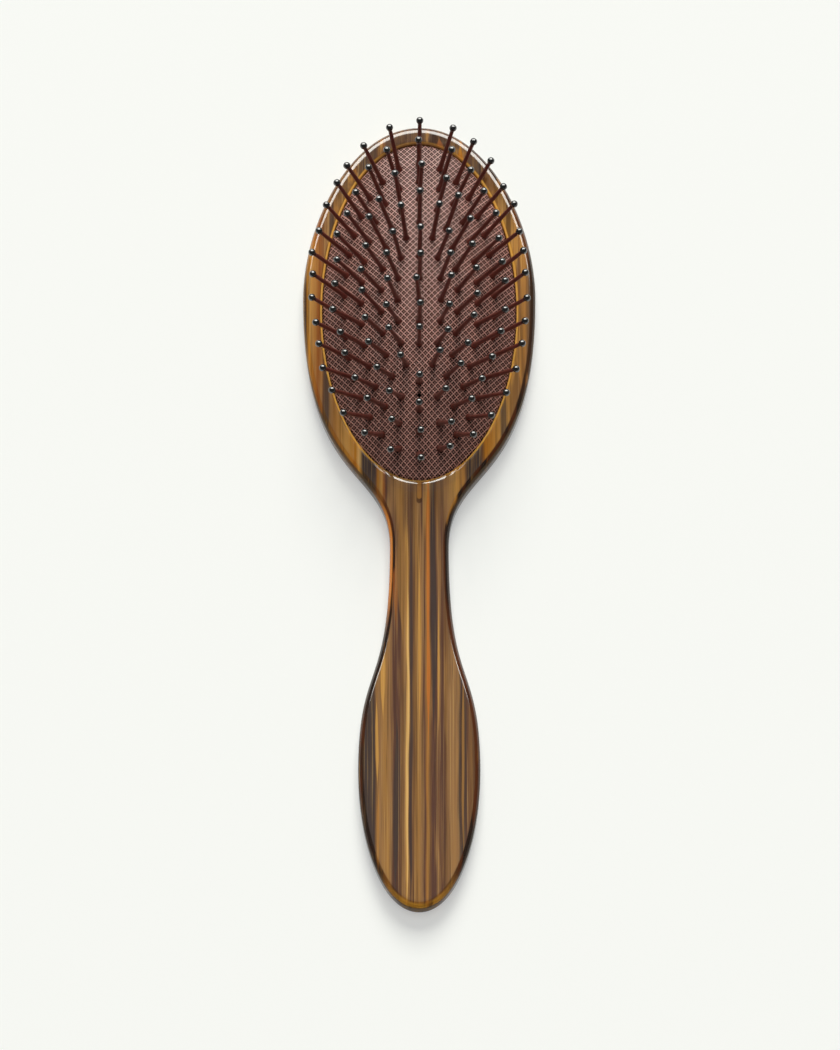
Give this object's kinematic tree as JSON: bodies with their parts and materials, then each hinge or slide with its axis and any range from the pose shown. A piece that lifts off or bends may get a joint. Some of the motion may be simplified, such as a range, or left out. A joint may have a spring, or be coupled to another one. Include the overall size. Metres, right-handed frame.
{
  "type": "detangling brush",
  "caption": "Oval cushion hair brush: flat one-piece acetate head and handle, domed rubber air cushion, and fanned nylon pins with ball tips.",
  "frame": {"origin": "on the flat back of the head, under the middle of the cushion", "axes": "+X across the head, +Y from the handle to the top of the head, +Z out of the back towards the pins"},
  "size_m": [0.064, 0.223, 0.0351],
  "materials": {
    "acetate": "polished cellulose acetate with lengthwise streaks of amber, brown and plum",
    "cushion_rubber": "fine crossed emboss, semi-matte maroon brown",
    "pin_nylon": "satin dark maroon nylon",
    "tip_gloss": "glossy black ball tips"
  },
  "bodies": {
    "handle_and_cushion": {"brush_body": "acetate", "cushion": "cushion_rubber"},
    "middle_row": {"pins_middle_row": "pin_nylon", "tips_middle_row": "tip_gloss"},
    "outer_ring_sides": {"pins_outer_ring_sides": "pin_nylon", "tips_outer_ring_sides": "tip_gloss"},
    "outer_ring_ends": {"pins_outer_ring_ends": "pin_nylon", "tips_outer_ring_ends": "tip_gloss"},
    "second_ring_sides": {"pins_second_ring_sides": "pin_nylon", "tips_second_ring_sides": "tip_gloss"},
    "second_ring_ends": {"pins_second_ring_ends": "pin_nylon", "tips_second_ring_ends": "tip_gloss"},
    "third_ring_sides": {"pins_third_ring_sides": "pin_nylon", "tips_third_ring_sides": "tip_gloss"},
    "third_ring_ends": {"pins_third_ring_ends": "pin_nylon", "tips_third_ring_ends": "tip_gloss"},
    "inner_ring_sides": {"pins_inner_ring_sides": "pin_nylon", "tips_inner_ring_sides": "tip_gloss"},
    "inner_ring_ends": {"pins_inner_ring_ends": "pin_nylon", "tips_inner_ring_ends": "tip_gloss"}
  },
  "joints": [
    {"name": "cushion_press", "type": "slide", "parent": "handle_and_cushion", "child": "middle_row", "axis": [0, 0, -1], "range_m": [0, 0.005], "stiffness_N_per_m": 150, "deforming": ["cushion"]},
    {"name": "outer_ring_sides_sink", "type": "slide", "parent": "handle_and_cushion", "child": "outer_ring_sides", "axis": [0, 0, -1], "range_m": [0, 0.00194], "stiffness_N_per_m": 600},
    {"name": "outer_ring_ends_sink", "type": "slide", "parent": "handle_and_cushion", "child": "outer_ring_ends", "axis": [0, 0, -1], "range_m": [0, 0.00145], "stiffness_N_per_m": 420},
    {"name": "second_ring_sides_sink", "type": "slide", "parent": "handle_and_cushion", "child": "second_ring_sides", "axis": [0, 0, -1], "range_m": [0, 0.00311], "stiffness_N_per_m": 540},
    {"name": "second_ring_ends_sink", "type": "slide", "parent": "handle_and_cushion", "child": "second_ring_ends", "axis": [0, 0, -1], "range_m": [0, 0.00249], "stiffness_N_per_m": 300},
    {"name": "third_ring_sides_sink", "type": "slide", "parent": "handle_and_cushion", "child": "third_ring_sides", "axis": [0, 0, -1], "range_m": [0, 0.00411], "stiffness_N_per_m": 480},
    {"name": "third_ring_ends_sink", "type": "slide", "parent": "handle_and_cushion", "child": "third_ring_ends", "axis": [0, 0, -1], "range_m": [0, 0.00332], "stiffness_N_per_m": 180},
    {"name": "inner_ring_sides_sink", "type": "slide", "parent": "handle_and_cushion", "child": "inner_ring_sides", "axis": [0, 0, -1], "range_m": [0, 0.00479], "stiffness_N_per_m": 300},
    {"name": "inner_ring_ends_sink", "type": "slide", "parent": "handle_and_cushion", "child": "inner_ring_ends", "axis": [0, 0, -1], "range_m": [0, 0.00424], "stiffness_N_per_m": 180}
  ],
  "couplings": [
    {"joint": "outer_ring_sides_sink", "follows": "cushion_press", "ratio": 0.385},
    {"joint": "outer_ring_ends_sink", "follows": "cushion_press", "ratio": 0.287},
    {"joint": "second_ring_sides_sink", "follows": "cushion_press", "ratio": 0.62},
    {"joint": "second_ring_ends_sink", "follows": "cushion_press", "ratio": 0.496},
    {"joint": "third_ring_sides_sink", "follows": "cushion_press", "ratio": 0.82},
    {"joint": "third_ring_ends_sink", "follows": "cushion_press", "ratio": 0.663},
    {"joint": "inner_ring_sides_sink", "follows": "cushion_press", "ratio": 0.956},
    {"joint": "inner_ring_ends_sink", "follows": "cushion_press", "ratio": 0.847}
  ]
}
